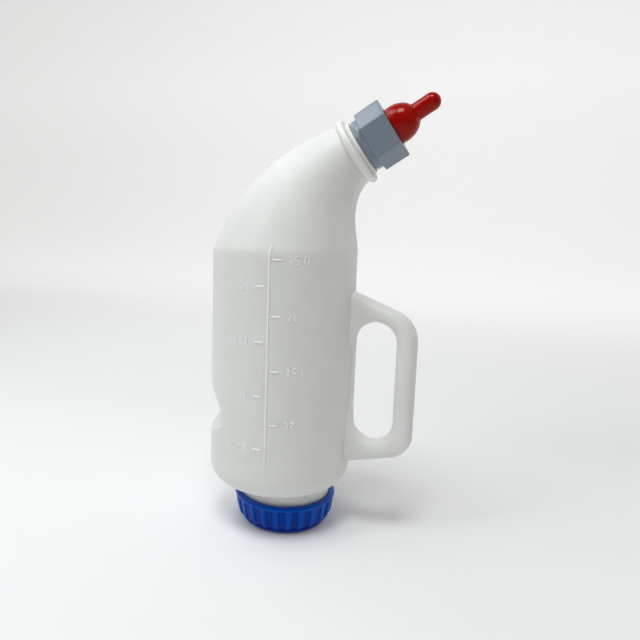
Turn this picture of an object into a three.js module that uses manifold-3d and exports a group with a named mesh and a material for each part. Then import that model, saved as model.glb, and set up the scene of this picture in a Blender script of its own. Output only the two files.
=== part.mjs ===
// Calf feeding bottle: blow-moulded bottle with a loop handle, a screwed base filler cap and a
// soft teat held on the slanted neck by a hexagonal nut. Units are millimetres, +Z is up, and
// the origin is the centre of the flat underside of the base cap. The handle and the teat point
// towards +X, and the bottle is symmetric about the plane y = 0 apart from its volume scale.
import * as THREE from 'three';
import { mergeVertices } from 'three/addons/utils/BufferGeometryUtils.js';
import Module from 'manifold-3d';

const wasm = await Module();
wasm.setup();

// ---------------------------------------------------------------- driving sizes
const bodyRadius = 61.8;          // outside of the round body
const bodyOffset = 6;             // the body axis lies this far behind the base neck axis
const wall = 1.9;                 // blow-moulded wall
const floorHeight = 37.6;         // underside of the body above the ground
const floorRound = 18;            // rounding between the underside and the side
const creaseHeight = 242;         // top of the straight side, where the shoulder starts
const clearance = 0.35;           // gap left between touching pieces

// slanted neck: its axis starts at neckStart and rises neckSlope degrees above the horizontal
const neckStart = { x: bodyRadius - 4.9, z: creaseHeight + 79.8 };
const neckSlope = 33.2;
const shoulderEnd = -2.2;         // where the shoulder meets the bead, along the neck axis
const spoutRadius = 18.2;         // root of the neck thread
const spoutBore = spoutRadius - 2.3;
const shoulderEndRadius = spoutRadius + 6.8;
const beadRadius = spoutRadius + 10;
const lipRadius = spoutRadius + 4.9;
const lipFront = 7.9;
const spoutEnd = 28.5;
const spoutThread = { height: 1.3, pitch: 4, turns: 3.4, base: 1.7, crest: 0.9, first: 12.2 };

// teat nut
const nutAcrossFlats = 2 * (spoutRadius + 3.9);
const nutBack = 9.4;
const nutShoulder = 14.1;
const nutSkirtRadius = spoutRadius + 4;
const nutFrontWall = 2.4;          // front wall that presses on the teat flange
const nutOpening = spoutRadius - 1.7;
const nutTurn = 19.2;             // degrees that a corner is turned up from the -Y side

// teat
const teatFlangeThickness = 2.4;
const teatWall = 2.1;
const bulbRadius = nutOpening - 1.2;
const nippleRadius = 7.1;
const teatLength = 77.2;          // tip of the teat along the neck axis
const milkHoleRadius = 0.9;

// valve inside the teat
const seatThickness = 1.8;
const seatHoleRadius = 4.1;
const seatBossRadius = 7.6;
const ballRadius = 5;
const ballTravel = 4;
const cageWall = 1.3;

// base neck and its screw cap
const baseThreadRadius = 38.2;    // root of the base thread
const baseNeckRadius = baseThreadRadius + 1.2;  // plain collar seen above the cap
const baseNeckBore = baseThreadRadius - 2.4;
const baseThread = { height: 1.3, pitch: 6, turns: 1.6, base: 2.5, crest: 1.4, first: 14.6 };
const capHeight = 27;
const capFloor = 2.8;
const capLedge = 5;               // the seal lies on this ledge
const capLedgeWidth = 8;
const capRadius = baseThreadRadius + 6.2;       // over the ribs, below the rim
const capRimHeight = 3.2;
const capRimRadius = capRadius + 0.5;
const capFootRadius = capRadius - 10.4;         // flat underside
const capRibCount = 24;
const capRibWidth = 4.2;
const capRibStart = 5.2;
const capRibRelief = 1.2;
const sealThickness = 2;
const sealWidth = 6.8;

// handle, in the plane y = 0, measured from the body axis
const handleOuter = bodyRadius + 54.6;
const handleTop = { x: bodyRadius + 1.5, z: creaseHeight - 33.4, slope: -0.387 };
const handleBottom = { x: bodyRadius + 2.1, z: floorHeight + 24, slope: 0.217 };
const handleTopRound = 27;
const handleBottomRound = 21;
const handleThickness = 20;
const handleEdge = 6;             // rounding of the handle's long edges
const holeLeft = bodyRadius + 3.6;
const holeRight = handleOuter - 16.8;
const holeTop = handleTop.z - 24;
const holeBottom = handleBottom.z + 21.2;
const webThickness = 7;           // pinched web between the body and the finger hole

// grip notch across the back of the body
const notchTop = 125;
const notchShelf = 110;
const notchCorner = 97;
const notchBottom = 84;
const notchShelfRadius = bodyRadius - 6.6;
const notchCornerRadius = bodyRadius - 8.4;
const notchTurn = 24.8;           // how far the flat ends of the notch are turned in, degrees

// raised volume scale on the -Y side
const scaleTurn = 6.7;            // degrees from the -Y direction towards the handle
const scaleFirst = 83.3;
const scaleStep = (creaseHeight - 27 - scaleFirst) / 3;
const scaleFirstInverted = creaseHeight - 6;
const scaleRelief = 0.7;
const scaleLineWidth = 1.5;
const scaleLineBottom = 71;
const tickLength = 7.4;
const tickWidth = 1.5;
const tickGapLeft = 3.7;
const tickGapRight = 2.3;

const ROUND = 40;                 // facets around large turned shapes
const SMALL = 28;                 // facets around small turned shapes

// ---------------------------------------------------------------- solids
// Closed manifold from a three.js geometry, with the seams merged and faces turned outward.
function toSolid(geometry) {
  const plain = geometry.clone();
  plain.deleteAttribute('normal');
  plain.deleteAttribute('uv');
  const merged = mergeVertices(plain, 1e-4);
  const points = merged.attributes.position.array;
  const index = merged.index.array;
  const triangles = [];
  let volume = 0;
  for (let i = 0; i < index.length; i += 3) {
    const [a, b, c] = [index[i], index[i + 1], index[i + 2]];
    if (a === b || b === c || c === a) {
      continue;
    }
    triangles.push(a, b, c);
    const p = new THREE.Vector3().fromArray(points, 3 * a);
    const q = new THREE.Vector3().fromArray(points, 3 * b);
    const r = new THREE.Vector3().fromArray(points, 3 * c);
    volume += p.dot(q.cross(r));
  }
  if (volume < 0) {
    for (let i = 0; i < triangles.length; i += 3) {
      [triangles[i + 1], triangles[i + 2]] = [triangles[i + 2], triangles[i + 1]];
    }
  }
  return new wasm.Manifold(new wasm.Mesh({
    numProp: 3,
    vertProperties: new Float32Array(points),
    triVerts: new Uint32Array(triangles),
  }));
}

// Solid turned about the Z axis from [radius, height] pairs.
function turned(profile, segments = ROUND) {
  const outline = profile.map(([radius, height]) => new THREE.Vector2(Math.max(radius, 0), height));
  const geometry = new THREE.LatheGeometry(outline, segments);
  geometry.rotateX(Math.PI / 2);
  return geometry;
}

function turnedRing(profile, segments = ROUND) {
  return turned([...profile, profile[0]], segments);
}

// Points of an arc in the (radius, height) plane, angles in degrees from the +radius direction.
function arc(radius, height, size, from, to, steps) {
  const points = [];
  for (let i = 0; i <= steps; i += 1) {
    const angle = THREE.MathUtils.degToRad(from + (to - from) * i / steps);
    points.push([radius + size * Math.cos(angle), height + size * Math.sin(angle)]);
  }
  return points;
}

// Round loft: place(s, u, v) gives the point of the section at s for unit-disc position (u, v).
function loft(steps, place, segments = ROUND) {
  const geometry = new THREE.CylinderGeometry(1, 1, 1, segments, steps);
  const position = geometry.attributes.position;
  for (let i = 0; i < position.count; i += 1) {
    const s = position.getY(i) + 0.5;
    const point = place(s, position.getX(i), position.getZ(i));
    position.setXYZ(i, point.x, point.y, point.z);
  }
  return geometry;
}

// Helical ridge about Z: a long box wound right-handed, standing on radius `root`.
// A negative height makes a ridge that points inward. The height fades out over both ends.
function threadRidge(root, thread, perTurn) {
  const steps = Math.round(thread.turns * perTurn);
  const geometry = new THREE.BoxGeometry(1, 1, 1, 1, 1, steps);
  const position = geometry.attributes.position;
  const sunk = thread.height > 0 ? -0.5 : 0.5;
  for (let i = 0; i < position.count; i += 1) {
    const along = position.getZ(i) + 0.5;
    const outer = position.getX(i) > 0;
    const fade = Math.min(1, Math.min(along, 1 - along) * steps / 3 + 0.15);
    const angle = (along * thread.turns + thread.phase) * 2 * Math.PI;
    const radius = root + (outer ? thread.height * fade : sunk);
    const width = outer ? thread.crest : thread.base;
    const height = thread.first + along * thread.turns * thread.pitch + position.getY(i) * width;
    position.setXYZ(i, radius * Math.cos(angle), radius * Math.sin(angle), height);
  }
  return geometry;
}

function box(low, high) {
  const size = high.map((value, k) => value - low[k]);
  const geometry = new THREE.BoxGeometry(...size);
  geometry.translate(...high.map((value, k) => (value + low[k]) / 2));
  return geometry;
}

// ---------------------------------------------------------------- frames
const toBody = new THREE.Matrix4().makeTranslation(-bodyOffset, 0, 0);
const slope = THREE.MathUtils.degToRad(neckSlope);
const neckAxis = new THREE.Vector3(Math.cos(slope), 0, Math.sin(slope));
// turned shapes made about Z are laid along the neck axis
const toNeck = new THREE.Matrix4().makeRotationY(Math.PI / 2 - slope);
toNeck.setPosition(neckStart.x - bodyOffset, 0, neckStart.z);

function onBody(geometry) {
  return toSolid(geometry.applyMatrix4(toBody));
}

function onNeck(geometry) {
  return toSolid(geometry.applyMatrix4(toNeck));
}

// ---------------------------------------------------------------- bottle body
// Back and front outlines of the shoulder in the plane y = 0, from the body axis.
const neckPerp = new THREE.Vector2(-Math.sin(slope), Math.cos(slope));
const shoulderTop = new THREE.Vector2(
  neckStart.x + neckAxis.x * shoulderEnd,
  neckStart.z + neckAxis.z * shoulderEnd,
);
const growth = bodyRadius / 61.8;
const backCurve = new THREE.CubicBezierCurve(
  new THREE.Vector2(-bodyRadius, creaseHeight),
  new THREE.Vector2(-33.5 * growth, creaseHeight + 66.3),
  new THREE.Vector2(shoulderTop.x - 51.8, shoulderTop.y + 5.9),
  shoulderTop.clone().addScaledVector(neckPerp, shoulderEndRadius),
);
const frontCurve = new THREE.CubicBezierCurve(
  new THREE.Vector2(bodyRadius, creaseHeight),
  new THREE.Vector2(bodyRadius + 1, creaseHeight + 6.8),
  new THREE.Vector2(shoulderTop.x - 4.6, shoulderTop.y - 40.4),
  shoulderTop.clone().addScaledVector(neckPerp, -shoulderEndRadius),
);

// Round section across the two outlines, inset by the given wall thickness.
function shoulderPoint(s, u, v, inset) {
  if (s < 0) {
    const radius = bodyRadius - inset;
    return new THREE.Vector3(radius * u, radius * v, creaseHeight + s * 40);
  }
  const back = backCurve.getPoint(s);
  const front = frontCurve.getPoint(s);
  const across = front.clone().sub(back);
  const radius = across.length() / 2 - inset;
  across.normalize();
  const middle = back.clone().add(front).multiplyScalar(0.5);
  return new THREE.Vector3(middle.x + across.x * radius * u, radius * v, middle.y + across.y * radius * u);
}

function shoulder(inset) {
  const steps = 13;
  return loft(steps, (s, u, v) => shoulderPoint((s * steps - 1) / (steps - 1), u, v, inset));
}

function barrel(inset) {
  const radius = bodyRadius - inset;
  const floor = floorHeight + inset;
  const corner = floorRound - inset;
  return turned([
    [0, floor],
    ...arc(radius - corner, floor + corner, corner, -90, 0, 5),
    [radius, creaseHeight - 1],
    [0, creaseHeight - 1],
  ]);
}

// Material taken out by the grip notch: flat ended, with a floor concentric with the body.
function notch(inset) {
  const levels = [
    [notchTop + inset, bodyRadius + 0.5],
    [notchShelf + inset, notchShelfRadius - inset],
    [notchCorner - inset, notchCornerRadius - inset],
    [notchBottom - inset, bodyRadius + 0.5],
  ];
  const turn = THREE.MathUtils.degToRad(notchTurn);
  const side = new THREE.Shape();
  const far = -bodyRadius - 10;
  side.moveTo(far, levels[0][0]);
  for (const [height, radius] of levels) {
    const ratio = Math.min(radius / bodyRadius, 1);
    const depth = ratio < 1 ? -bodyRadius * Math.cos(turn + Math.acos(ratio)) : -bodyRadius * Math.cos(turn);
    side.lineTo(depth + inset * 0.5, height);
  }
  side.lineTo(far, levels[3][0]);
  const prism = new THREE.ExtrudeGeometry(side, { depth: 4 * bodyRadius, bevelEnabled: false });
  prism.rotateX(Math.PI / 2);
  prism.translate(0, 2 * bodyRadius, 0);
  const core = turned([
    [0, levels[3][0] - 1],
    [levels[3][1] + 0.5, levels[3][0] - 1],
    ...levels.slice().reverse().map(([height, radius]) => [radius, height]),
    [levels[0][1] + 0.5, levels[0][0] + 1],
    [0, levels[0][0] + 1],
  ]);
  return onBody(prism).subtract(onBody(core));
}

// Outline of a polygon whose corners are rounded: corners are [x, z, rounding].
function roundedOutline(target, corners, steps = 6) {
  const count = corners.length;
  corners.forEach(([x, z, rounding], i) => {
    const here = new THREE.Vector2(x, z);
    const before = new THREE.Vector2(...corners[(i + count - 1) % count]).sub(here).normalize();
    const after = new THREE.Vector2(...corners[(i + 1) % count]).sub(here).normalize();
    const half = before.angleTo(after) / 2;
    const reach = rounding / Math.tan(half);
    const start = here.clone().addScaledVector(before, reach);
    const middle = before.clone().add(after).normalize().multiplyScalar(rounding / Math.sin(half));
    const centre = here.clone().add(middle);
    const first = start.clone().sub(centre);
    const end = here.clone().addScaledVector(after, reach).sub(centre);
    const sweep = Math.atan2(first.cross(end), first.dot(end));
    const arcSteps = rounding > 0 ? steps : 0;
    for (let k = 0; k <= arcSteps; k += 1) {
      const spin = arcSteps ? sweep * k / arcSteps : 0;
      const point = rounding > 0 ? first.clone().rotateAround(new THREE.Vector2(), spin).add(centre) : here;
      if (i === 0 && k === 0) {
        target.moveTo(point.x, point.y);
      } else {
        target.lineTo(point.x, point.y);
      }
    }
  });
  return target;
}

function handleCorners(inset) {
  const rootX = bodyRadius - 9;
  const right = handleOuter - inset;
  const topAt = (x) => handleTop.z - inset * 1.07 + (x - handleTop.x) * handleTop.slope;
  const bottomAt = (x) => handleBottom.z + inset * 1.02 + (x - handleBottom.x) * handleBottom.slope;
  return [
    [rootX, bottomAt(rootX), 0],
    [right, bottomAt(right), handleBottomRound - inset],
    [right, topAt(right), handleTopRound - inset],
    [rootX, topAt(rootX), 0],
  ];
}

function holeCorners(inset) {
  const rounding = (holeRight - holeLeft) / 2 + inset - 0.01;
  return [
    [holeLeft - inset, holeBottom - inset, rounding],
    [holeRight + inset, holeBottom - inset, rounding],
    [holeRight + inset, holeTop + inset, rounding],
    [holeLeft - inset, holeTop + inset, rounding],
  ];
}

// Extruded in the plane y = 0 and centred on it, with rounded long edges when edge > 0.
function plate(shape, thickness, edge) {
  const geometry = new THREE.ExtrudeGeometry(shape, {
    depth: thickness - 2 * edge,
    bevelEnabled: edge > 0,
    bevelThickness: edge,
    bevelSize: edge,
    bevelOffset: -edge,
    bevelSegments: 3,
    curveSegments: 6,
  });
  geometry.rotateX(Math.PI / 2);
  geometry.translate(0, thickness / 2 - edge, 0);
  return geometry;
}

function handleLoop(inset) {
  const shape = roundedOutline(new THREE.Shape(), handleCorners(inset));
  shape.holes.push(roundedOutline(new THREE.Path(), holeCorners(inset)));
  return onBody(plate(shape, handleThickness - 2 * inset, handleEdge - inset));
}

// The loop is thinner beside the finger hole, where the mould pinches a narrow web.
function webTrim() {
  const low = holeBottom + (holeRight - holeLeft) / 2;
  const high = holeTop - (holeRight - holeLeft) / 2;
  const reach = handleThickness;
  const front = box([bodyRadius - 12, -reach, low], [holeLeft + 8, -webThickness / 2, high]);
  const back = box([bodyRadius - 12, webThickness / 2, low], [holeLeft + 8, reach, high]);
  return onBody(front).add(onBody(back));
}

// Raised bar on the side of the body: from angle a to angle b (degrees) and height low to high.
function scaleBar(a, b, low, high) {
  const columns = Math.max(1, Math.round(Math.abs(b - a) / 4));
  const geometry = new THREE.BoxGeometry(1, 1, 1, columns, 1, 1);
  const position = geometry.attributes.position;
  for (let i = 0; i < position.count; i += 1) {
    const angle = THREE.MathUtils.degToRad(a + (position.getX(i) + 0.5) * (b - a) - 90);
    const radius = bodyRadius + (position.getY(i) < 0 ? scaleRelief : -1);
    const height = position.getZ(i) < 0 ? low : high;
    position.setXYZ(i, radius * Math.cos(angle), radius * Math.sin(angle), height);
  }
  return onBody(geometry);
}

function volumeScale() {
  const degrees = (length) => THREE.MathUtils.radToDeg(length / bodyRadius);
  const half = degrees(scaleLineWidth / 2);
  const marks = [scaleBar(scaleTurn - half, scaleTurn + half, scaleLineBottom, creaseHeight - 0.5)];
  for (let i = 0; i < 4; i += 1) {
    const upright = scaleFirst + i * scaleStep;
    const inverted = scaleFirstInverted - i * scaleStep;
    const left = scaleTurn - degrees(tickGapLeft);
    const right = scaleTurn + degrees(tickGapRight);
    marks.push(scaleBar(left - degrees(tickLength), left, upright - tickWidth / 2, upright + tickWidth / 2));
    marks.push(scaleBar(right, right + degrees(tickLength), inverted - tickWidth / 2, inverted + tickWidth / 2));
  }
  return marks;
}

function bottleBody() {
  const neckFinish = turned([
    [0, shoulderEnd - 12],
    [shoulderEndRadius - 3.5, shoulderEnd - 12],
    [shoulderEndRadius - 0.4, shoulderEnd],
    [beadRadius - 0.7, -0.6],
    [beadRadius, 0.9],
    [beadRadius, 3.1],
    [beadRadius - 0.8, 4.4],
    [lipRadius - 0.6, 5.1],
    [lipRadius, 5.8],
    [lipRadius - 0.2, 7.1],
    [lipRadius - 0.8, lipFront],
    [spoutRadius, lipFront],
    [spoutRadius, spoutEnd - 0.6],
    [spoutRadius - 0.6, spoutEnd],
    [0, spoutEnd],
  ]);
  const mouth = capLedge + sealThickness + 2 * clearance;
  const baseNeck = turned([
    [0, mouth],
    [baseThreadRadius - 0.8, mouth],
    [baseThreadRadius, mouth + 3.3],
    [baseThreadRadius, capHeight - 1],
    [baseNeckRadius, capHeight - 0.5],
    [baseNeckRadius, floorHeight + 3],
    [0, floorHeight + 3],
  ]);
  const floorToMouth = turned([
    [0, -5],
    [baseNeckBore, -5],
    [baseNeckBore, floorHeight + 6],
    [0, floorHeight + 6],
  ]);
  const spoutHole = turned([
    [0, -22],
    [spoutBore, -22],
    [spoutBore, spoutEnd + 5],
    [0, spoutEnd + 5],
  ], SMALL);

  let outside = onBody(barrel(0)).add(onBody(shoulder(0))).subtract(notch(0));
  outside = outside.add(onNeck(neckFinish)).add(toSolid(baseNeck));
  outside = outside.add(handleLoop(0).subtract(webTrim()));
  outside = outside.add(toSolid(threadRidge(baseThreadRadius, { ...baseThread, phase: 0 }, 30)));
  outside = outside.add(onNeck(threadRidge(spoutRadius, { ...spoutThread, phase: 0 }, 24)));
  for (const mark of volumeScale()) {
    outside = outside.add(mark);
  }
  let inside = onBody(barrel(wall)).add(onBody(shoulder(wall))).subtract(notch(wall));
  inside = inside.add(handleLoop(wall).subtract(webCore()));
  inside = inside.add(onNeck(spoutHole)).add(toSolid(floorToMouth));
  return outside.subtract(inside);
}

// Keeps the hollow of the handle out of the solid web beside the finger hole.
function webCore() {
  const low = holeBottom;
  const high = holeTop;
  const reach = handleThickness;
  return onBody(box([bodyRadius - wall - 0.5, -reach, low], [holeLeft + 4, reach, high]));
}

// ---------------------------------------------------------------- base cap and seal
const capBore = baseThreadRadius + baseThread.height + 0.5;
// Side of the cap over its ribs, from the foot to the rim: [radius, height].
const capSide = [
  [capFootRadius, 0],
  [capFootRadius + 1.7, 0.7],
  [capFootRadius + 3.2, 2.2],
  [capRadius - 5.2, 5.2],
  [capRadius - 3.3, 8],
  [capRadius - 2, 11.4],
  [capRadius, capHeight - capRimHeight],
];

// Radius over the ribs at a height on the cap's side.
function capSideAt(height) {
  const next = Math.max(1, capSide.findIndex((point) => point[1] >= height));
  const [low, high] = [capSide[next - 1], capSide[next]];
  return low[0] + (high[0] - low[0]) * (height - low[1]) / (high[1] - low[1]);
}

function capRib() {
  const levels = [capRibStart, capRibStart + 2.8, 11.4, capHeight - capRimHeight + 0.5];
  const top = capHeight - capRimHeight;
  const side = new THREE.Shape();
  side.moveTo(capSideAt(capRibStart) - capRibRelief - 0.6, capRibStart);
  for (const height of levels) {
    side.lineTo(capSideAt(Math.min(height, top)), height);
  }
  for (const height of levels.slice().reverse()) {
    side.lineTo(capSideAt(Math.min(height, top)) - capRibRelief - 0.6, height);
  }
  const rib = new THREE.ExtrudeGeometry(side, { depth: capRibWidth, bevelEnabled: false });
  rib.rotateX(Math.PI / 2);
  rib.translate(0, capRibWidth / 2, 0);
  return rib;
}

function baseCap() {
  const below = capSide.filter(([, height]) => height <= capRibStart);
  const beside = capSide.filter(([, height]) => height > capRibStart);
  const shell = turned([
    [0, 0],
    ...below,
    ...beside.map(([radius, height]) => [radius - capRibRelief, height]),
    [capRimRadius, capHeight - capRimHeight + 0.2],
    [capRimRadius, capHeight - 0.8],
    [capRimRadius - 0.8, capHeight],
    [0, capHeight],
  ]);
  const ledgeOuter = baseThreadRadius - 0.4;
  const hollow = turned([
    [0, capFloor],
    [ledgeOuter - capLedgeWidth - 1, capFloor],
    [ledgeOuter - capLedgeWidth, capLedge],
    [ledgeOuter, capLedge],
    [ledgeOuter, capLedge + sealThickness],
    [capBore, capLedge + sealThickness + 4],
    [capBore, capHeight + 2],
    [0, capHeight + 2],
  ]);
  let cap = toSolid(shell);
  const rib = capRib();
  for (let i = 0; i < capRibCount; i += 1) {
    const turn = (i + 0.5) / capRibCount * 2 * Math.PI;
    cap = cap.add(toSolid(rib.clone().rotateZ(turn)));
  }
  const inner = { ...baseThread, height: -baseThread.height * 0.8, phase: 0 };
  inner.first = baseThread.first - baseThread.pitch / 2;
  return cap.subtract(toSolid(hollow)).add(toSolid(threadRidge(capBore, inner, 30)));
}

function baseSeal() {
  const outer = baseThreadRadius - 0.4 - clearance;
  return toSolid(turnedRing([
    [outer - sealWidth, capLedge + clearance],
    [outer, capLedge + clearance],
    [outer, capLedge + clearance + sealThickness],
    [outer - sealWidth, capLedge + clearance + sealThickness],
  ]));
}

// ---------------------------------------------------------------- nut, teat and valve
const seatBack = spoutEnd + clearance;
const flangeBack = seatBack + seatThickness + clearance;
const flangeRadius = spoutRadius + 0.9;
const nutBore = spoutRadius + spoutThread.height + 0.5;
const nutFront = flangeBack + teatFlangeThickness + clearance + nutFrontWall;

function teatNut() {
  const shell = turned([
    [0, nutBack],
    [nutSkirtRadius - 0.6, nutBack],
    [nutSkirtRadius, nutBack + 0.6],
    [nutSkirtRadius, nutShoulder + 2],
    [0, nutShoulder + 2],
  ]);
  const corner = nutAcrossFlats / Math.sqrt(3);
  const hexagon = new THREE.CylinderGeometry(corner, corner, nutFront - nutShoulder, 6);
  hexagon.rotateX(Math.PI / 2);
  hexagon.translate(0, 0, (nutFront + nutShoulder) / 2);
  hexagon.rotateZ(THREE.MathUtils.degToRad(-nutTurn));
  // the six long edges and the end corners are eased by a turned envelope
  const eased = turned([
    [0, nutShoulder - 1],
    [corner - 1.6, nutShoulder - 1],
    [corner - 0.35, nutShoulder + 0.4],
    [corner - 0.35, nutFront - 0.4],
    [corner - 1.6, nutFront + 1],
    [0, nutFront + 1],
  ], 48);
  const hollow = turned([
    [0, nutBack - 2],
    [nutBore, nutBack - 2],
    [nutBore, flangeBack + teatFlangeThickness + clearance],
    [nutOpening, flangeBack + teatFlangeThickness + clearance],
    [nutOpening, nutFront + 2],
    [0, nutFront + 2],
  ]);
  const inner = { ...spoutThread, height: -spoutThread.height * 0.8, phase: 0 };
  inner.first = spoutThread.first - spoutThread.pitch / 2;
  const block = toSolid(hexagon.applyMatrix4(toNeck)).intersect(onNeck(eased));
  const nut = onNeck(shell).add(block).subtract(onNeck(hollow));
  return nut.add(onNeck(threadRidge(nutBore, inner, 24)));
}

function teat() {
  const flangeFront = flangeBack + teatFlangeThickness;
  const tip = teatLength - nippleRadius;
  const outside = [
    [flangeRadius, flangeBack],
    [flangeRadius, flangeFront],
    [bulbRadius - 0.2, flangeFront],
    [bulbRadius - 0.1, 37],
    [bulbRadius, 41],
    [bulbRadius - 0.9, 46],
    [bulbRadius - 2.6, 49.6],
    [bulbRadius - 4.9, 52.6],
    [bulbRadius - 7, 54.6],
    [nippleRadius + 0.5, 55.7],
    [nippleRadius, 57],
    ...arc(0, tip, nippleRadius, 0, 80, 6).map(([radius, height]) => [Math.max(radius, milkHoleRadius), height]),
    [milkHoleRadius, teatLength],
  ];
  const inside = [
    [milkHoleRadius, teatLength - 1.6],
    ...arc(0, tip, nippleRadius - teatWall, 72, 0, 5),
    [nippleRadius - teatWall, 56],
    [bulbRadius - 7.6, 53],
    [bulbRadius - 4.9, 49.5],
    [bulbRadius - 3, 45.5],
    [bulbRadius - teatWall, 41],
    [bulbRadius - teatWall, flangeBack],
  ];
  return onNeck(turnedRing([...outside, ...inside], SMALL));
}

// Disc with a coned hole and a boss, nipped between the spout and the teat flange.
function valveSeat() {
  const face = seatBack + seatThickness;
  return onNeck(turnedRing([
    [seatHoleRadius - 1, seatBack],
    [flangeRadius - 0.3, seatBack],
    [flangeRadius - 0.3, face],
    [seatBossRadius, face],
    [seatBossRadius, face + 2.4],
    [seatBossRadius - 1.5, face + 2.4],
    [seatHoleRadius + 0.5, face],
  ], SMALL));
}

const ballHome = seatBack + seatThickness + Math.sqrt(ballRadius ** 2 - seatHoleRadius ** 2) + 0.3;

// Collar round the seat's boss with three legs up to the ring that stops the ball.
function valveCage() {
  const inner = seatBossRadius + clearance;
  const outer = inner + cageWall;
  const low = flangeBack;
  const stop = ballHome + ballTravel + ballRadius + clearance;
  let cage = onNeck(turnedRing([[inner, low], [outer, low], [outer, low + 1.8], [inner, low + 1.8]], SMALL));
  for (let i = 0; i < 3; i += 1) {
    const leg = box([inner + 0.1, -1.6, low + 0.5], [outer - 0.15, 1.6, stop + 0.6]);
    leg.rotateZ(i / 3 * 2 * Math.PI);
    cage = cage.add(onNeck(leg));
  }
  const ring = turnedRing([
    [ballRadius * 0.55, stop],
    [outer, stop],
    [outer, stop + 1.2],
    [ballRadius * 0.55, stop + 1.2],
  ], SMALL);
  return cage.add(onNeck(ring));
}

function valveBall() {
  const sphere = new THREE.SphereGeometry(ballRadius, 20, 12);
  sphere.translate(0, 0, ballHome);
  return onNeck(sphere);
}

// ---------------------------------------------------------------- meshes
function mesh(name, solid, color, roughness, metalness = 0) {
  const data = solid.getMesh();
  const geometry = new THREE.BufferGeometry();
  geometry.setAttribute('position', new THREE.BufferAttribute(new Float32Array(data.vertProperties), 3));
  geometry.setIndex(new THREE.BufferAttribute(new Uint32Array(data.triVerts), 1));
  geometry.computeVertexNormals();
  const material = new THREE.MeshStandardMaterial({ color, roughness, metalness });
  const result = new THREE.Mesh(geometry, material);
  result.name = name;
  return result;
}

const bottle = new THREE.Group();
bottle.name = 'calf_feeding_bottle';
bottle.add(mesh('bottle_body', bottleBody(), 0xe3e9ea, 0.42));
bottle.add(mesh('base_cap', baseCap(), 0x0a4fb4, 0.38));
bottle.add(mesh('base_seal', baseSeal(), 0xd9d6cc, 0.8));
bottle.add(mesh('teat_nut', teatNut(), 0x7c8088, 0.4));
bottle.add(mesh('teat', teat(), 0x8f0a05, 0.35));
bottle.add(mesh('valve_seat', valveSeat(), 0xe8e8e6, 0.45));
bottle.add(mesh('valve_cage', valveCage(), 0xe8e8e6, 0.45));
bottle.add(mesh('valve_ball', valveBall(), 0xc9ccd0, 0.3));

export default bottle;
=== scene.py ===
"""Looks of the calf feeding bottle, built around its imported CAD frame.

Sizes are in millimetres and turned into metres when a mesh is made. The bottle stands on its
base cap at the origin, +Z is up, and the handle and the teat point towards +X.
"""
import math

import bpy
import numpy as np
from mathutils import Matrix, Vector


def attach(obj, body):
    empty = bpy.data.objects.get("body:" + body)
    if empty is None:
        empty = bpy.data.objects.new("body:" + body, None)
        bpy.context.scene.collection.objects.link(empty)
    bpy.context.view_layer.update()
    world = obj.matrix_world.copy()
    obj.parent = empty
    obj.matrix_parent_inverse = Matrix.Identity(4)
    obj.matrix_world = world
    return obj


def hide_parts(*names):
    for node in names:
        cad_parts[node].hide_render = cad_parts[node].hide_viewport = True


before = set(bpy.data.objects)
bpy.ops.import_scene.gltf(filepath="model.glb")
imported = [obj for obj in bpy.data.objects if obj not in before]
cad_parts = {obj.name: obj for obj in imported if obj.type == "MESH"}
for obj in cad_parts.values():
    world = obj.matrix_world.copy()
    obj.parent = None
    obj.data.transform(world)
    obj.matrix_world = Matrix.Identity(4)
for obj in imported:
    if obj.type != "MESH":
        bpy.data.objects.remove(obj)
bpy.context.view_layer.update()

# ------------------------------------------------------------------ sizes, as in the part
# body: radius, place of its axis, wall, underside, rounding of the underside, shoulder crease
BODY_R, BODY_X, WALL = 61.8, -6.0, 1.9
FLOOR, FLOOR_ROUND, CREASE = 37.6, 18.0, 242.0
# neck: lean from the vertical, start, and the shoulder's end behind that start
SLOPE = math.radians(33.2)
NECK_X, NECK_Z = BODY_R - 4.9 + BODY_X, CREASE + 79.8
SHOULDER_END, SHOULDER_END_R = -2.2, 25.0
SPOUT_R, SPOUT_BORE, SPOUT_END, LIP_FRONT = 18.2, 15.9, 28.5, 7.9
# base neck and its cap
COLLAR_R, BASE_ROOT_R, BASE_BORE = 39.4, 38.2, 35.8
CAP_HEIGHT, CAP_FLOOR, CAP_LEDGE, CAP_RIM_R, CAP_BORE = 27.0, 2.8, 5.0, 44.9, 40.0
SEAL_THICK, SEAL_WIDTH = 2.0, 6.8
GAP = 0.35
# places along the slanted neck, one piece after another
SEAT_THICK, FLANGE_THICK, NUT_WALL = 1.8, 2.4, 2.4
SEAT_BACK = SPOUT_END + GAP
FLANGE_BACK = SEAT_BACK + SEAT_THICK + GAP
FLANGE_FRONT = FLANGE_BACK + FLANGE_THICK
FLANGE_R = SPOUT_R + 0.9
NUT_BACK, NUT_FRONT = 14.1, FLANGE_FRONT + GAP + NUT_WALL
SKIRT_BACK, SKIRT_R = 9.4, 21.7
NUT_APOTHEM, NUT_CORNER, NUT_EASE, NUT_TURN = 22.1, 2.0, 1.1, -109.2
NUT_BORE, NUT_OPENING = 20.0, 16.5
TEAT_TIP, NIPPLE_R, NIPPLE_BORE = 77.2, 7.1, 5.0
BALL_R, BALL_TRAVEL, SEAT_HOLE_R, COLLAR_BORE = 5.0, 4.0, 4.1, 7.6
# threads: ridge height, pitch, turns, width at the root and at the crest
BASE_THREAD = dict(pitch=6, turns=1.6, base=2.5, crest=1.4)
SPOUT_THREAD = dict(pitch=4, turns=3.4, base=1.7, crest=0.9)
RIDGE_OUT, RIDGE_IN = 1.3, -1.04
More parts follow.
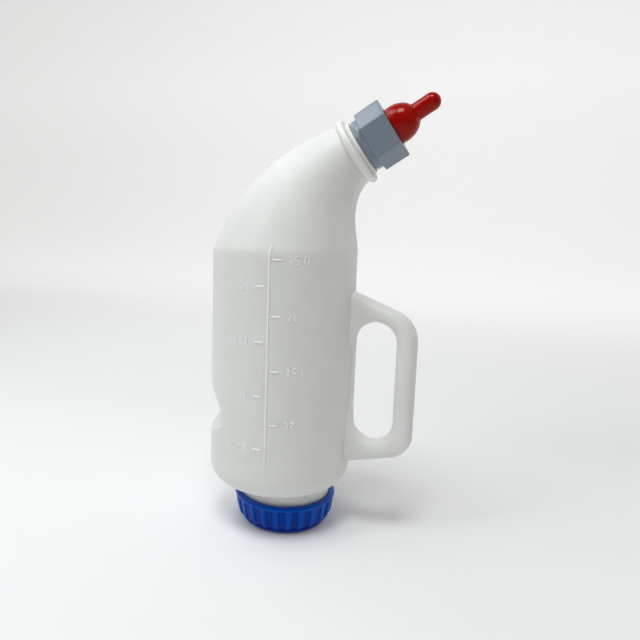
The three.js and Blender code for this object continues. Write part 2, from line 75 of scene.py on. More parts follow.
# grip notch: heights, and how deep it is at each below the body's surface
NOTCH_HEIGHTS = np.array([84.0, 97.0, 110.0, 125.0])
NOTCH_DEPTHS = np.array([-0.5, 8.4, 6.6, -0.5])
NOTCH_HALF_TURN = 24.8
# handle: reach past the body, width of its outer limb, half thickness of the loop and of the web
HANDLE_REACH, HANDLE_LIMB, HANDLE_HALF, WEB_HALF = 54.6, 16.8, 10.0, 3.5
# scale: turn of its line round the body, first mark, spacing, sign height and stroke sizes
SCALE_TURN, SCALE_FIRST, SCALE_STEP, SIGN_HEIGHT = -90 + 6.7, 83.3, 43.9, 6.0
LINE_BOTTOM, LINE_TOP = 70.5, 247.5
LINE_WIDTH, LINE_RISE, STROKE_WIDTH, STROKE_RISE = 1.5, 0.6, 0.95, 0.42


# ------------------------------------------------------------------ mesh helpers
def to_piece(name, points, faces):
    """Object at the origin from points in millimetres and quads or triangles, turned outward.
    The sign of the enclosed volume, summed over triangles, tells which way the faces point."""
    points = np.asarray(points, float).reshape(-1, 3)
    faces = [np.asarray(f, np.int64) for f in faces if len(f)]
    volume = 0.0
    for block in faces:
        a = points[block[:, 0]]
        for k in range(1, block.shape[1] - 1):
            volume += np.einsum("ij,ij->", a, np.cross(points[block[:, k]], points[block[:, k + 1]]))
    if volume < 0:
        faces = [block[:, ::-1] for block in faces]
    mesh = bpy.data.meshes.new(name)
    corners = np.concatenate([block.ravel() for block in faces])
    sizes = np.concatenate([np.full(len(block), block.shape[1]) for block in faces])
    mesh.vertices.add(len(points))
    mesh.vertices.foreach_set("co", (points * 0.001).astype(np.float32).ravel())
    mesh.loops.add(len(corners))
    mesh.loops.foreach_set("vertex_index", corners.astype(np.int32))
    mesh.polygons.add(len(sizes))
    mesh.polygons.foreach_set("loop_start", (np.cumsum(sizes) - sizes).astype(np.int32))
    mesh.update(calc_edges=True)
    mesh.validate()
    piece = bpy.data.objects.new(name, mesh)
    bpy.context.scene.collection.objects.link(piece)
    return piece


def grid_quads(rows, cols, wrap_rows=False, start=0):
    """Quads between neighbouring points of a grid whose columns close on themselves."""
    i = np.arange(rows if wrap_rows else rows - 1)[:, None]
    j = np.arange(cols)[None, :]
    ni, nj = (i + 1) % rows, (j + 1) % cols
    return start + np.stack([i * cols + j, i * cols + nj, ni * cols + nj, ni * cols + j], -1).reshape(-1, 4)


def tube(grid, start=0):
    """Points and faces of a grid whose columns close, with a fan of triangles over each end."""
    rows, cols = grid.shape[:2]
    points = np.concatenate([grid.reshape(-1, 3), grid[:1].mean(1), grid[-1:].mean(1)])
    j = np.arange(cols)
    nj = (j + 1) % cols
    first = np.stack([nj, j, np.full(cols, rows * cols)], -1)
    last = np.stack([(rows - 1) * cols + j, (rows - 1) * cols + nj, np.full(cols, rows * cols + 1)], -1)
    return points, [grid_quads(rows, cols) + start, np.concatenate([first, last]) + start]


def ring(grid):
    """Points and faces of a grid that closes both ways."""
    return grid.reshape(-1, 3), [grid_quads(*grid.shape[:2], wrap_rows=True)]


def joined(shells):
    """Several closed shells put one after another as one set of points and faces."""
    points, quads, triangles, count = [], [], [], 0
    for shell_points, faces in shells:
        for block in faces:
            (quads if block.shape[1] == 4 else triangles).append(block + count)
        points.append(shell_points)
        count += len(shell_points)
    blocks = [np.concatenate(kind) for kind in (quads, triangles) if kind]
    return np.concatenate(points), blocks


def eased(profile, size, closed=False):
    """Profile whose corners are replaced by short parabolas that start `size` from the corner."""
    points = np.asarray(profile, float)
    count = len(points)
    out = []
    for i, p in enumerate(points):
        if not closed and i in (0, count - 1):
            out.append(p)
            continue
        before, after = points[i - 1] - p, points[(i + 1) % count] - p
        a = before * min(size / (np.linalg.norm(before) + 1e-9), 0.45)
        b = after * min(size / (np.linalg.norm(after) + 1e-9), 0.45)
        for t in (0.0, 0.25, 0.5, 0.75, 1.0):
            out.append(p + a * (1 - t) ** 2 + b * t ** 2)
    return np.array(out)


def filled(profile, step):
    """Profile with points added so that none are further apart than `step`."""
    points = np.asarray(profile, float)
    out = [points[:1]]
    for a, b in zip(points[:-1], points[1:]):
        n = max(1, int(np.ceil(np.linalg.norm(b - a) / step)))
        out.append(a + (b - a) * (np.arange(1, n + 1) / n)[:, None])
    return np.concatenate(out)


def turned(profile, segments=96):
    """Profile of radius and height turned about Z: x = r cos a, y = r sin a, z = h."""
    r, h = np.asarray(profile, float).T
    a = np.arange(segments) * 2 * np.pi / segments
    return np.stack([np.outer(r, np.cos(a)), np.outer(r, np.sin(a)), np.outer(h, np.ones(segments))], -1)


def solid_of_turning(profile, segments=96):
    """Turned solid whose profile runs from axis to axis; the end fans close the two poles."""
    return tube(turned(profile, segments))


def on_neck(points):
    """Points made about Z laid along the slanted neck: turned about Y, then moved to its start."""
    x, y, z = np.moveaxis(np.asarray(points, float), -1, 0)
    s, c = math.cos(SLOPE), math.sin(SLOPE)
    return np.stack([x * c + z * s + NECK_X, y, -x * s + z * c + NECK_Z], -1)


def laid_on_neck(shell):
    return on_neck(shell[0]), shell[1]


def thread(root, height, first, pitch, turns, base, crest, per_turn=72):
    """Right-handed ridge: a rounded trapezium carried along a helix, fading out at both ends."""
    along = np.linspace(0, 1, int(turns * per_turn) + 1)
    angle = along * turns * 2 * np.pi
    fade = np.clip(np.minimum(along, 1 - along) * turns * 9, 0.05, 1.0) ** 0.6
    half = np.array([crest / 4, crest / 2, base / 2 * 0.86, base / 2])
    across = np.concatenate([-half[::-1], half])
    rise = np.array([-0.5 / abs(height), 0.16, 0.9, 1.0, 1.0, 0.9, 0.16, -0.5 / abs(height)])
    radius = root + height * np.where(rise > 0, rise * fade[:, None], rise)
    z = first + (along * turns * pitch)[:, None] + across
    return tube(np.stack([radius * np.cos(angle)[:, None], radius * np.sin(angle)[:, None], z], -1))


def combine(piece, tool, operation):
    """Boolean of two closed meshes, applied at once; the tool object is removed."""
    modifier = piece.modifiers.new("combine", "BOOLEAN")
    modifier.operation = operation
    modifier.solver = "MANIFOLD"
    modifier.object = tool
    graph = bpy.context.evaluated_depsgraph_get()
    result = bpy.data.meshes.new_from_object(piece.evaluated_get(graph))
    piece.modifiers.clear()
    old = piece.data
    piece.data = result
    name = piece.name
    bpy.data.objects.remove(tool)
    bpy.data.meshes.remove(old)
    result.name = name
    if not len(result.polygons):
        raise RuntimeError(f"{name}: the {operation.lower()} left nothing")
    return piece


def finished(piece, sharp=32):
    """Smooth shading, with edges steeper than `sharp` degrees kept crisp."""
    mesh = piece.data
    mesh.polygons.foreach_set("use_smooth", np.ones(len(mesh.polygons), bool))
    mesh.set_sharp_from_angle(angle=math.radians(sharp))
    mesh.update()
    return piece


# ------------------------------------------------------------------ bottle
def bezier(corners, s):
    """Cubic curve: the four corners weighted by the cubic Bernstein terms of s."""
    t = s[:, None]
    return ((1 - t) ** 3 * corners[0] + 3 * (1 - t) ** 2 * t * corners[1]
            + 3 * (1 - t) * t ** 2 * corners[2] + t ** 3 * corners[3])


def around(segments, extra):
    """Angles round the body, with more of them close to the two parting lines."""
    angles = np.arange(segments) * 2 * np.pi / segments
    if extra:
        near = np.radians([0.22, 0.45, 0.75, 1.2])
        angles = np.concatenate([angles, near, 2 * np.pi - near, np.pi + near, np.pi - near])
    return np.sort(angles)


def notch_radius(z, angle):
    """Radius left by the grip notch: the smooth greater of its round floor and its flat ends."""
    radii = BODY_R - NOTCH_DEPTHS
    floor = np.mean([np.interp(z + d, NOTCH_HEIGHTS, radii) for d in (-1.6, -0.8, 0, 0.8, 1.6)], axis=0)
    ratio = np.minimum(floor / BODY_R, 1)
    depth = BODY_R * np.cos(np.radians(NOTCH_HALF_TURN) + np.arccos(ratio))
    facing = np.clip(-np.cos(angle), 0.05, 1)
    ends = depth[:, None] / facing[None, :]
    soft = 0.45
    return soft * np.logaddexp(floor[:, None] / soft, ends / soft)


def bottle_shell(inset, segments, step, parting):
    """Round floor, barrel and shoulder as one grid. Barrel rows are circles about the body axis,
    cut back by the notch; shoulder rows are circles across the back and front curves."""
    angle = around(segments, parting > 0)
    cos, sin = np.cos(angle), np.sin(angle)
    ridge = parting * (np.exp(-(BODY_R * np.sin(angle) / 0.55) ** 2))
    radius, corner, floor = BODY_R - inset, FLOOR_ROUND - inset, FLOOR + inset
    bend = np.radians(np.linspace(-90, 0, max(6, int(28 / step))))
    r = np.concatenate([np.linspace(4, radius - corner, 6)[:-1], radius - corner + corner * np.cos(bend)])
    z = np.concatenate([np.full(5, floor), floor + corner + corner * np.sin(bend)])
    side = np.linspace(floor + corner, CREASE, int((CREASE - floor - corner) / step) + 1)[1:]
    r, z = np.concatenate([r, np.full(len(side), radius)]), np.concatenate([z, side])
    soft = 0.45
    cut = notch_radius(z, angle) - inset
    lift = np.clip((z - floor) / 8, 0, 1)[:, None]
    below = r[:, None] * (z < 78)[:, None] * 2
    reach = -soft * np.logaddexp(-r[:, None] / soft, -np.maximum(cut, below) / soft)
    reach = reach + ridge * lift
    barrel = np.stack([reach * cos + BODY_X, reach * sin, np.broadcast_to(z[:, None], reach.shape)], -1)

    perp = np.array([-math.sin(SLOPE), math.cos(SLOPE)])
    top = np.array([NECK_X - BODY_X, NECK_Z]) + np.array([math.cos(SLOPE), math.sin(SLOPE)]) * SHOULDER_END
    back = np.array([
        [-BODY_R, CREASE], [-33.5, CREASE + 66.3], top + [-51.8, 5.9], top + perp * SHOULDER_END_R])
    front = np.array([
        [BODY_R, CREASE], [BODY_R + 1, CREASE + 6.8], top - [4.6, 40.4], top - perp * SHOULDER_END_R])
    s = np.linspace(0, 1, int(120 / step))[1:]
    b, f = bezier(back, s), bezier(front, s)
    across = f - b
    half = np.linalg.norm(across, axis=1)
    across, half, middle = across / half[:, None], half / 2 - inset, (b + f) / 2
    reach = half[:, None] + ridge * np.clip((1 - s) * 8, 0, 1)[:, None]
    shoulder = np.stack([
        middle[:, :1] + across[:, :1] * reach * cos + BODY_X,
        reach * sin,
        middle[:, 1:] + across[:, 1:] * reach * cos,
    ], -1)
    grid = np.concatenate([barrel, shoulder])
    crease = len(barrel) - 1
    weight = np.exp(-((np.arange(len(grid)) - crease) * step / 3.2) ** 2)[1:-1, None, None]
    for _ in range(int(6 / step) + 1):
        mean = (grid[:-2] + grid[1:-1] * 2 + grid[2:]) / 4
        grid[1:-1] += (mean - grid[1:-1]) * weight
    return grid


def corner_outline(corners, steps=16):
    """Closed outline of straight sides joined by arcs: corners are x, z and rounding."""
    corners = np.asarray(corners, float)
    out = []
    for i, (x, z, size) in enumerate(corners):
        here = np.array([x, z])
        before, after = corners[i - 1, :2] - here, corners[(i + 1) % len(corners), :2] - here
        before, after = before / np.linalg.norm(before), after / np.linalg.norm(after)
        half = math.acos(np.clip(before @ after, -1, 1)) / 2
        middle = (before + after) / np.linalg.norm(before + after)
        centre = here + middle * size / math.sin(half)
        reach = size / math.tan(half)
        start, end = here + before * reach - centre, here + after * reach - centre
        t = np.linspace(0, 1, steps)[:, None]
        sweep = np.pi - 2 * half
        if size > 0:
            arc = start * np.sin((1 - t) * sweep) + end * np.sin(t * sweep)
            out.append(centre + arc / math.sin(sweep))
        else:
            out.append(here[None])
    return np.concatenate(out)


def handle_loop(inset, caps, sides, section):
    """Loop handle: round the stadium-shaped finger hole, each section reaches out to the outer
    outline and is a superellipse, |x/a|^n + |y/b|^n = 1, thinner where the loop is a web."""
    left, right = BODY_R + 3.6, BODY_R + HANDLE_REACH - HANDLE_LIMB
    top_z, bottom_z = CREASE - 33.4, FLOOR + 24
    hole_top, hole_bottom = top_z - 24, bottom_z + 21.2
    mid, w = (left + right) / 2, (right - left) / 2
    low, high = hole_bottom + w, hole_top - w
    turn = np.concatenate([
        np.linspace(0, np.pi, caps, endpoint=False), np.full(sides, np.pi),
        np.linspace(np.pi, 2 * np.pi, caps, endpoint=False), np.full(sides, 2 * np.pi)])
    rise = np.concatenate([
        np.full(caps, high), np.linspace(high, low, sides, endpoint=False),
        np.full(caps, low), np.linspace(low, high, sides, endpoint=False)])
    n = np.stack([np.cos(turn), np.sin(turn)], -1)
    medial = np.stack([np.full(len(turn), mid), rise], -1)
    root, outer = BODY_R - 9, BODY_R + HANDLE_REACH
    top_at = lambda x: top_z + (x - BODY_R - 1.5) * -0.387
    bottom_at = lambda x: bottom_z + (x - BODY_R - 2.1) * 0.217
    outline = corner_outline([
        [root, bottom_at(root), 0], [outer, bottom_at(outer), 21],
        [outer, top_at(outer), 27], [root, top_at(root), 0]])
    a, d = outline, np.roll(outline, -1, 0) - outline
    gap = a[None] - medial[:, None]
    cross = n[:, None, 0] * d[None, :, 1] - n[:, None, 1] * d[None, :, 0]
    cross = np.where(abs(cross) < 1e-9, 1e-9, cross)
    far = (gap[..., 0] * d[None, :, 1] - gap[..., 1] * d[None, :, 0]) / cross
    u = (gap[..., 0] * n[:, None, 1] - gap[..., 1] * n[:, None, 0]) / cross
    far = np.where((u >= -1e-6) & (u <= 1 + 1e-6) & (far > 0), far, np.inf).min(1)
    inner = medial + n * (w + inset)
    outside = medial + n * (far - inset)[:, None]
    centre, half = (inner + outside) / 2, np.linalg.norm(outside - inner, axis=1) / 2
    web = np.clip(np.minimum(rise - low, high - rise) / 12, 0, 1) * (n[:, 0] < 0)
    web = web * web * (3 - 2 * web)
    thick = HANDLE_HALF - (HANDLE_HALF - WEB_HALF) * web - inset
    power = 2.5 + 1.9 * np.clip((half - 9) / 12, 0, 1)
    phi = np.arange(section) * 2 * np.pi / section
    if inset == 0:
        near = np.array([0.006, 0.016, 0.035])
        phi = np.sort(np.concatenate([phi, near, 2 * np.pi - near]))
    c, q = np.cos(phi)[None], np.sin(phi)[None]
    along = half[:, None] * np.sign(c) * abs(c) ** (2 / power[:, None])
    y = thick[:, None] * np.sign(q) * abs(q) ** (2 / power[:, None])
    if inset == 0:
        along = along + 0.25 * np.exp(-(y / 0.5) ** 2) * (c > 0)
    xz = centre[:, None] + n[:, None] * along[..., None]
    return np.stack([xz[..., 0] + BODY_X, y, xz[..., 1]], -1)


NECK_PROFILE = [
    [0, -14], [21.5, -14], [24.6, -2.2], [27.5, -0.6], [28.2, 0.9], [28.2, 3.1], [27.4, 4.4], [22.5, 5.1],
    [23.1, 5.9], [22.9, 7.1], [22.3, LIP_FRONT], [SPOUT_R, LIP_FRONT], [SPOUT_R, SPOUT_END], [0, SPOUT_END]]
MOUTH = CAP_LEDGE + SEAL_THICK + 2 * GAP
BASE_PROFILE = [
    [0, MOUTH], [BASE_ROOT_R - 0.8, MOUTH], [BASE_ROOT_R, MOUTH + 3.3], [BASE_ROOT_R, CAP_HEIGHT - 1],
    [COLLAR_R, CAP_HEIGHT - 0.5], [COLLAR_R, 28.6], [COLLAR_R + 0.35, 28.9], [COLLAR_R, 29.3],
    [COLLAR_R, 31.0], [COLLAR_R + 0.35, 31.3], [COLLAR_R, 31.7], [COLLAR_R, 33.8], [COLLAR_R + 0.3, 34.1],
    [COLLAR_R, 34.5], [COLLAR_R, 39.2], [0, 39.2]]


def make_bottle():
    body = to_piece("bottle_shell", *tube(bottle_shell(0, 176, 1.5, 0.22)))
    body = combine(body, to_piece("handle", *ring(handle_loop(0, 56, 30, 36))), "UNION")
    neck = solid_of_turning(filled(eased(NECK_PROFILE, 0.55), 6), 120)
    body = combine(body, to_piece("neck", *laid_on_neck(neck)), "UNION")
    body = combine(body, to_piece("base", *solid_of_turning(eased(BASE_PROFILE, 0.2), 144)), "UNION")
    body = combine(body, to_piece("ridge", *thread(BASE_ROOT_R, RIDGE_OUT, 14.6, **BASE_THREAD)), "UNION")
    spout = laid_on_neck(thread(SPOUT_R, RIDGE_OUT, 12.2, **SPOUT_THREAD, per_turn=56))
    body = combine(body, to_piece("ridge", *spout), "UNION")
    hollow = to_piece("hollow", *tube(bottle_shell(WALL, 72, 4, 0)))
    hollow = combine(hollow, to_piece("loop", *ring(handle_loop(WALL, 24, 10, 16))), "UNION")
    ends = (-22, SPOUT_END + 5)
    bore = solid_of_turning([[0, ends[0]], [SPOUT_BORE, ends[0]], [SPOUT_BORE, ends[1]], [0, ends[1]]], 72)
    hollow = combine(hollow, to_piece("bore", *laid_on_neck(bore)), "UNION")
    mouth = solid_of_turning([[0, -5], [BASE_BORE, -5], [BASE_BORE, FLOOR + 6], [0, FLOOR + 6]], 96)
    hollow = combine(hollow, to_piece("mouth", *mouth), "UNION")
    return finished(combine(body, hollow, "DIFFERENCE"), 50)


# ------------------------------------------------------------------ raised volume scale
def ridge_on(path, normal, width, height):
    """Raised stroke: a rounded section carried along a path on the surface, sunk below it, with
    its ends drawn in. Across it is width times cosine, outward it is height times sine."""
    tangent = np.gradient(path, axis=0)
    tangent /= np.linalg.norm(tangent, axis=1)[:, None]
    side = np.cross(normal, tangent)
    side /= np.linalg.norm(side, axis=1)[:, None]
    phi = np.arange(12) * 2 * np.pi / 12
    c, s = np.cos(phi), np.sin(phi)
    across = width / 2 * np.sign(c) * abs(c) ** 0.8
    out = np.where(s > 0, height * abs(s) ** 0.8, -0.9 * abs(s))
    steps = np.linalg.norm(np.diff(path, axis=0), axis=1)
    run = np.concatenate([[0], np.cumsum(steps)])
    end = np.minimum(run, run[-1] - run) / (width * 0.5)
    draw = np.sqrt(np.clip(1 - (1 - np.clip(end, 0, 1)) ** 2, 0.02, 1))[:, None]
    lift = np.where(out > 0, out * np.clip(draw * 1.05, 0, 1), out)
    sideways = side[:, None] * (across * draw)[..., None]
    return tube(path[:, None] + sideways + normal[:, None] * lift[..., None])


def curve_through(points, count):
    """Smooth line through given points: uniform Catmull-Rom pieces sampled `count` times each."""
    p = np.asarray(points, float)
    p = np.concatenate([p[:1] * 2 - p[1:2], p, p[-1:] * 2 - p[-2:-1]])
    t = (np.arange(count) / count)[None, :, None]
    a, b, c, d = p[:-3, None], p[1:-2, None], p[2:-1, None], p[3:, None]
    bend, twist = 2 * a - 5 * b + 4 * c - d, 3 * b - a - 3 * c + d
    line = 0.5 * (2 * b + (c - a) * t + bend * t ** 2 + twist * t ** 3)
    return np.concatenate([line.reshape(-1, 2), p[-2:-1]])


# strokes of each sign in a cell 0.6 wide and 1 high: the flag says whether the stroke is curved
SIGNS = {
    "0": [(True, [(0.3, 1), (0.1, 0.88), (0.02, 0.5), (0.1, 0.12), (0.3, 0), (0.5, 0.12), (0.58, 0.5),
                  (0.5, 0.88), (0.32, 1)])],
    "1": [(False, [(0.12, 0.8), (0.34, 1), (0.34, 0)])],
    "2": [(True, [(0.04, 0.74), (0.14, 0.95), (0.34, 1), (0.54, 0.9), (0.55, 0.66), (0.38, 0.42),
                  (0.16, 0.2), (0.04, 0.02)]),
          (False, [(0.02, 0), (0.6, 0)])],
    "5": [(False, [(0.54, 1), (0.12, 1), (0.07, 0.54)]),
          (True, [(0.07, 0.54), (0.3, 0.64), (0.52, 0.54), (0.58, 0.3), (0.46, 0.07), (0.24, 0),
                  (0.03, 0.13)])],
    ".": [(False, [(0.1, 0.0), (0.1, 0.07)])],
    "l": [(True, [(0.0, 0.22), (0.2, 0.42), (0.42, 0.74), (0.42, 0.96), (0.3, 1.0), (0.2, 0.82),
                  (0.17, 0.4), (0.22, 0.08), (0.36, 0.0), (0.54, 0.16)])],
}
ADVANCE = {"0": 0.82, "1": 0.66, "2": 0.84, "5": 0.84, ".": 0.42, "l": 0.6}


def on_barrel(arc, z):
    """Point and outward normal on the barrel: arc is the distance round it from the scale line."""
    a = math.radians(SCALE_TURN) + np.asarray(arc) / BODY_R
    normal = np.stack([np.cos(a), np.sin(a), np.zeros(len(a))], -1)
    axis = np.stack([np.full(len(a), BODY_X), np.zeros(len(a)), z], -1)
    return normal * [BODY_R, BODY_R, 0] + axis, normal


def written(text, start, middle, height, inverted):
    """Strokes of a text on the barrel. Inverted text is turned half round about its middle."""
    shells = []
    length = sum(ADVANCE[sign] for sign in text) * height
    pen = 0.0
    for sign in text:
        for curved, points in SIGNS[sign]:
            line = curve_through(points, 5) if curved else filled(points, 0.12)
            x = pen + line[:, 0] * height
            y = (line[:, 1] - 0.5) * height
            if inverted:
                x, y = length - x, -y
            shells.append(ridge_on(*on_barrel(start + x, middle + y), STROKE_WIDTH, STROKE_RISE))
        pen += ADVANCE[sign] * height
    return shells


def make_scale():
    grid = bottle_shell(0, 176, 1.5, 0)
    angle = math.radians(SCALE_TURN) % (2 * math.pi)
    around_body = around(176, False)
    k = np.searchsorted(around_body, angle)
    t = (angle - around_body[k - 1]) / (around_body[k] - around_body[k - 1])
    line = grid[:, k - 1] * (1 - t) + grid[:, k] * t
    line = line[(line[:, 2] > LINE_BOTTOM) & (line[:, 2] < LINE_TOP)]
    normal = np.tile([math.cos(angle), math.sin(angle), 0.0], (len(line), 1))
    shells = [ridge_on(line, normal, LINE_WIDTH, LINE_RISE)]
    texts = ["0.5l", "1l", "1.5l", "2l"]
    for i, text in enumerate(texts):
        length = sum(ADVANCE[sign] for sign in text) * SIGN_HEIGHT
        up, down = SCALE_FIRST + i * SCALE_STEP, CREASE - 6 - i * SCALE_STEP
        for low, high, z in ((-11.1, -3.7, up), (2.3, 9.7, down)):
            arc = np.linspace(low, high, 12)
            shells.append(ridge_on(*on_barrel(arc, np.full(12, z)), LINE_WIDTH, LINE_RISE))
        shells += written(text, -16 - length, up, SIGN_HEIGHT, False)
        shells += written(text, 15.0, down, SIGN_HEIGHT, True)
    return finished(to_piece("volume_scale", *joined(shells)), 50)


# ------------------------------------------------------------------ base cap
CAP_SIDE = np.array([[34, 0], [35.7, 0.7], [37.2, 2.2], [39.2, 5.2], [41.1, 8], [42.4, 11.4], [44.4, 23.8]])
RIBS, RIB_WIDTH, RIB_WALL, RIB_RELIEF = 24, 5.0, 1.2, 1.6


def make_cap():
    """Turned cap whose side is pushed in by the rib relief, except on 24 ridges. A ridge is a
    capsule with steep walls: its crest is the sine of the way up the wall, flat in the middle."""
    smooth = curve_through(CAP_SIDE[:, ::-1], 9)[:, ::-1]
    side = filled(smooth, 0.75)
    rim = eased([
        side[-1], [44.45, 23.9], [CAP_RIM_R, 24.2], [CAP_RIM_R, 26.3], [43.9, CAP_HEIGHT],
        [42, CAP_HEIGHT]], 0.5)[1:]
    ledge = BASE_ROOT_R - 0.4
    inside = eased([
        [42, CAP_HEIGHT], [CAP_BORE, CAP_HEIGHT], [CAP_BORE, 11], [ledge, 7], [ledge, CAP_LEDGE],
        [ledge - 8, CAP_LEDGE], [ledge - 9, CAP_FLOOR], [0, CAP_FLOOR]], 0.4)[1:-1]
    segments = RIBS * 24
    foot = np.array([[12, 0], [30, 0]])
    profile = np.concatenate([foot, side, rim, inside, [[12, CAP_FLOOR]]])
    grid = turned(profile, segments)
    angle = np.arange(segments) * 2 * np.pi / segments
    pitch = 2 * np.pi / RIBS
    offset = (angle - 0.5 * pitch + pitch / 2) % pitch - pitch / 2
    rows = slice(len(foot), len(foot) + len(side))
    r, z = side[:, 0][:, None], side[:, 1][:, None]
    across = offset[None, :] * r
    away = np.hypot(across, np.clip(7.4 - z, 0, None))
    crest = np.sin(np.clip((RIB_WIDTH / 2 - away) / RIB_WALL, 0, 1) * np.pi / 2)
    ease = np.clip((z - 3.6) / 2.2, 0, 1)
    ease = ease * ease * (3 - 2 * ease)
    push = RIB_RELIEF * ease * (1 - crest) * np.clip((23.9 - z) / 0.3, 0, 1)
    grid[rows, :, :2] *= (1 - push / r)[..., None]
    cap = to_piece("ribbed_cap", *tube(grid))
    ridge = thread(CAP_BORE, RIDGE_IN, 11.6, **BASE_THREAD)
    return finished(combine(cap, to_piece("ridge", *ridge), "UNION"), 50)


# ------------------------------------------------------------------ nut
def hexagon(apothem, corner, per_flat=6, per_corner=7):
    """Hexagon outline with round corners: six arcs about centres set in by the corner radius."""
    out = []
    for k in range(6):
        middle = math.radians(NUT_TURN + 60 * k)
        centre = (apothem - corner) / math.cos(math.pi / 6)
        a = middle + np.radians(np.linspace(-30, 30, per_corner))
        x, y = centre * math.cos(middle), centre * math.sin(middle)
        out.append(np.stack([x + corner * np.cos(a), y + corner * np.sin(a)], -1))
    flats = []
    for k in range(6):
        a, b = out[k][-1], out[(k + 1) % 6][0]
        t = (np.arange(1, per_flat) / per_flat)[:, None]
        flats += [out[k], a + (b - a) * t]
    return np.concatenate(flats)


def make_nut():
    """Hexagon block with eased edges over a round skirt, bored and threaded."""
    back, front = NUT_BACK, NUT_FRONT
    rows = []
    turn = np.radians(np.linspace(0, 90, 8))
    inset, rise = NUT_EASE * (1 - np.sin(turn)), NUT_EASE * (1 - np.cos(turn))
    levels = list(zip(inset, back + rise)) + [(0, back + 2.2), (0, (back + front) / 2), (0, front - 2.2)]
    levels += list(zip(inset[::-1], front - rise[::-1]))
    for inset, z in levels:
        outline = hexagon(NUT_APOTHEM - inset, NUT_CORNER)
        rows.append(np.column_stack([outline, np.full(len(outline), z)]))
    nut = to_piece("hexagonal_nut", *laid_on_neck(tube(np.array(rows))))
    skirt = eased([
        [0, SKIRT_BACK], [SKIRT_R, SKIRT_BACK], [SKIRT_R, back + 0.3], [SKIRT_R - 1.1, back + 1.0],
        [0, back + 1.0]], 0.5)
    nut = combine(nut, to_piece("skirt", *laid_on_neck(solid_of_turning(skirt, 128))), "UNION")
    step = FLANGE_FRONT + GAP
    flare = NUT_OPENING + 0.9
    bore = eased([
        [0, 7], [NUT_BORE + 0.8, 7], [NUT_BORE, 10.2], [NUT_BORE, step], [NUT_OPENING, step],
        [NUT_OPENING, front - 0.6], [flare, front + 0.4], [flare, 40], [0, 40]], 0.25)
    nut = combine(nut, to_piece("bore", *laid_on_neck(solid_of_turning(bore, 128))), "DIFFERENCE")
    ridge = thread(NUT_BORE, RIDGE_IN, 10.2, **SPOUT_THREAD, per_turn=56)
    return finished(combine(nut, to_piece("ridge", *laid_on_neck(ridge)), "UNION"), 33)


# ------------------------------------------------------------------ teat, valve and seal
def round_tip(radius, centre, angles):
    """Profile of a round end: radius times cosine across, centre plus radius times sine along."""
    return np.stack([radius * np.cos(angles), centre + radius * np.sin(angles)], -1)


def make_teat():
    """Teat turned about the neck axis: flange, bulb, nipple and, inside, its hollow."""
    front = FLANGE_FRONT
    centre = TEAT_TIP - NIPPLE_R
    flange = eased([
        [15.0, FLANGE_BACK], [FLANGE_R, FLANGE_BACK], [FLANGE_R, front], [15.1, front],
        [15.1, front + 1.2]], 0.4)[1:]
    bulb = curve_through([
        (15.1, front + 1.2), (15.3, 38), (15.35, 41), (14.8, 45), (13.45, 49), (11.4, 52.4), (9.4, 54.5),
        (7.9, 55.6), (7.25, 56.4), (7.12, 57.6), (NIPPLE_R, 61), (7.05, 66), (NIPPLE_R, centre)], 5)
    tip = round_tip(NIPPLE_R, centre, np.radians(np.linspace(0, 83, 16)))
    hole = [[0.9, 77.15], [0.9, 75.6]]
    inner_tip = round_tip(NIPPLE_BORE, centre, np.radians(np.linspace(72, 0, 8)))
    hollow = curve_through([
        (NIPPLE_BORE, 60), (5.2, 56.4), (7.7, 53), (10.4, 49.5), (12.3, 45.5), (13.2, 41),
        (13.2, FLANGE_BACK + 0.3)], 4)
    foot = [[13.6, FLANGE_BACK], [15.0, FLANGE_BACK]]
    profile = np.concatenate([flange, bulb[1:-1], tip, hole, inner_tip, hollow, foot])
    return finished(to_piece("soft_teat", *laid_on_neck(ring(turned(profile, 96)))), 45)


def washer(inner, outer, low, high, segments=72):
    """Flat ring with slightly eased edges, turned about Z."""
    corners = [[inner, low], [outer, low], [outer, high], [inner, high]]
    return turned(eased(corners, 0.25, closed=True), segments)


def cage_leg(middle, turn, low, high):
    """Upright bar: a superellipse of radial half width 0.55 and half breadth 1.6 carried up Z."""
    phi = np.arange(16) * 2 * np.pi / 16
    c, s = np.cos(phi), np.sin(phi)
    out = middle + 0.55 * np.sign(c) * abs(c) ** 0.4
    side = 1.6 * np.sign(s) * abs(s) ** 0.6
    x = out * math.cos(turn) - side * math.sin(turn)
    y = out * math.sin(turn) + side * math.cos(turn)
    return np.array([np.column_stack([x, y, np.full(16, z)]) for z in np.linspace(low, high, 4)])


